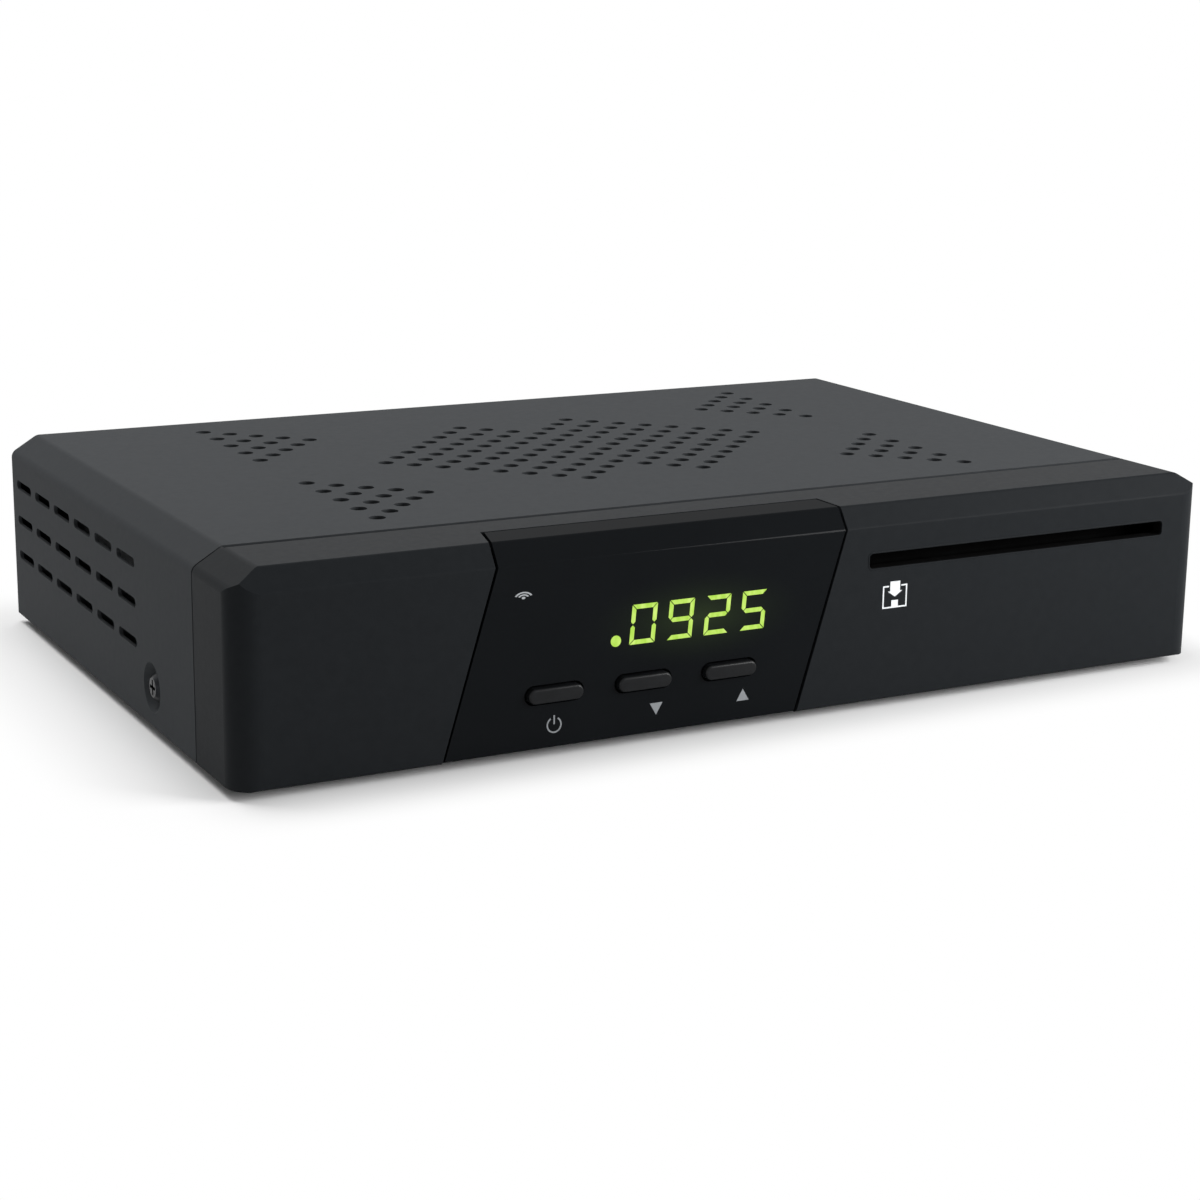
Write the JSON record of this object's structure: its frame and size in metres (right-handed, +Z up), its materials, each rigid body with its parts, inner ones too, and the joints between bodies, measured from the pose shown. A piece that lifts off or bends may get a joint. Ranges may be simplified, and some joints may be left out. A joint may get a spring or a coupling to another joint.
{
  "type": "satellite receiver",
  "caption": "Low set-top satellite receiver: folded vented steel case, moulded front with a leaning gloss panel, digit display, push buttons and a card slot.",
  "frame": {"origin": "on the table under the feet, in the middle of the overall width and depth", "axes": "+X to the viewer's right along the front, +Y from the front to the rear sockets, +Z up"},
  "size_m": [0.22, 0.1556, 0.0425],
  "materials": {
    "cover_metal": "satin dark grey powder coat",
    "chassis_metal": "satin black powder coat",
    "bezel_plastic": "satin black moulding",
    "panel_gloss": "piano black",
    "button_plastic": "satin black",
    "foot_rubber": "matt",
    "screw_black": "black zinc",
    "screw_steel": "zinc",
    "brass_post": "turned",
    "circuit_board": "green solder mask",
    "tin_plate": "tinned",
    "nickel": "nickel plate",
    "white_plastic": "natural white",
    "black_plastic": "moulded",
    "yellow_plastic": "moulded",
    "red_plastic": "moulded",
    "orange_plastic": "moulded",
    "thermal_pad": "soft",
    "sink_aluminium": "extruded",
    "contact_gold": "gold plate",
    "display_light": "yellow-green light bars"
  },
  "bodies": {
    "case": {"top_cover": "cover_metal", "bottom_chassis": "chassis_metal", "front_bezel": "bezel_plastic", "centre_panel": "panel_gloss", "rubber_feet": "foot_rubber", "side_screws": "screw_black", "rear_screws": "screw_black", "board_screws": "screw_steel", "card_board_screws": "screw_steel", "front_board_screws": "screw_steel", "board_standoffs": "brass_post", "card_standoffs": "brass_post", "main_board": "circuit_board", "card_board": "circuit_board", "front_board": "circuit_board", "tuner_can": "tin_plate", "tuner_lid": "tin_plate", "hdmi_socket": "tin_plate", "usb_socket": "tin_plate", "timing_crystal": "tin_plate", "lnb_in_connector": "nickel", "lnb_out_connector": "nickel", "aerial_nuts": "nickel", "aerial_washers": "nickel", "jack_sleeves": "nickel", "aerial_insulators": "white_plastic", "ribbon_cable": "white_plastic", "audio_left_collar": "white_plastic", "network_socket": "black_plastic", "power_socket": "black_plastic", "jack_block": "black_plastic", "card_reader_frame": "black_plastic", "card_header": "black_plastic", "tact_switches": "black_plastic", "display_module": "black_plastic", "infrared_sensor": "black_plastic", "front_header": "black_plastic", "main_header": "black_plastic", "processor_chip": "black_plastic", "memory_chips": "black_plastic", "power_coils": "black_plastic", "capacitors": "black_plastic", "video_collar": "yellow_plastic", "audio_right_collar": "red_plastic", "digital_audio_collar": "orange_plastic", "thermal_pad": "thermal_pad", "heat_sink": "sink_aluminium", "card_contacts": "contact_gold", "display_segments": "display_light"},
    "power_key": {"power_button": "button_plastic", "power_plunger": "black_plastic"},
    "channel_down_key": {"channel_down_button": "button_plastic", "channel_down_plunger": "black_plastic"},
    "channel_up_key": {"channel_up_button": "button_plastic", "channel_up_plunger": "black_plastic"}
  },
  "joints": [
    {"name": "power_press", "type": "slide", "parent": "case", "child": "power_key", "axis": [0, 1, 0], "range_m": [0, 0.0005], "stiffness_N_per_m": 1200, "springref_m": -0.0005},
    {"name": "channel_down_press", "type": "slide", "parent": "case", "child": "channel_down_key", "axis": [0, 1, 0], "range_m": [0, 0.0005], "stiffness_N_per_m": 1200, "springref_m": -0.0005},
    {"name": "channel_up_press", "type": "slide", "parent": "case", "child": "channel_up_key", "axis": [0, 1, 0], "range_m": [0, 0.0005], "stiffness_N_per_m": 1200, "springref_m": -0.0005}
  ]
}
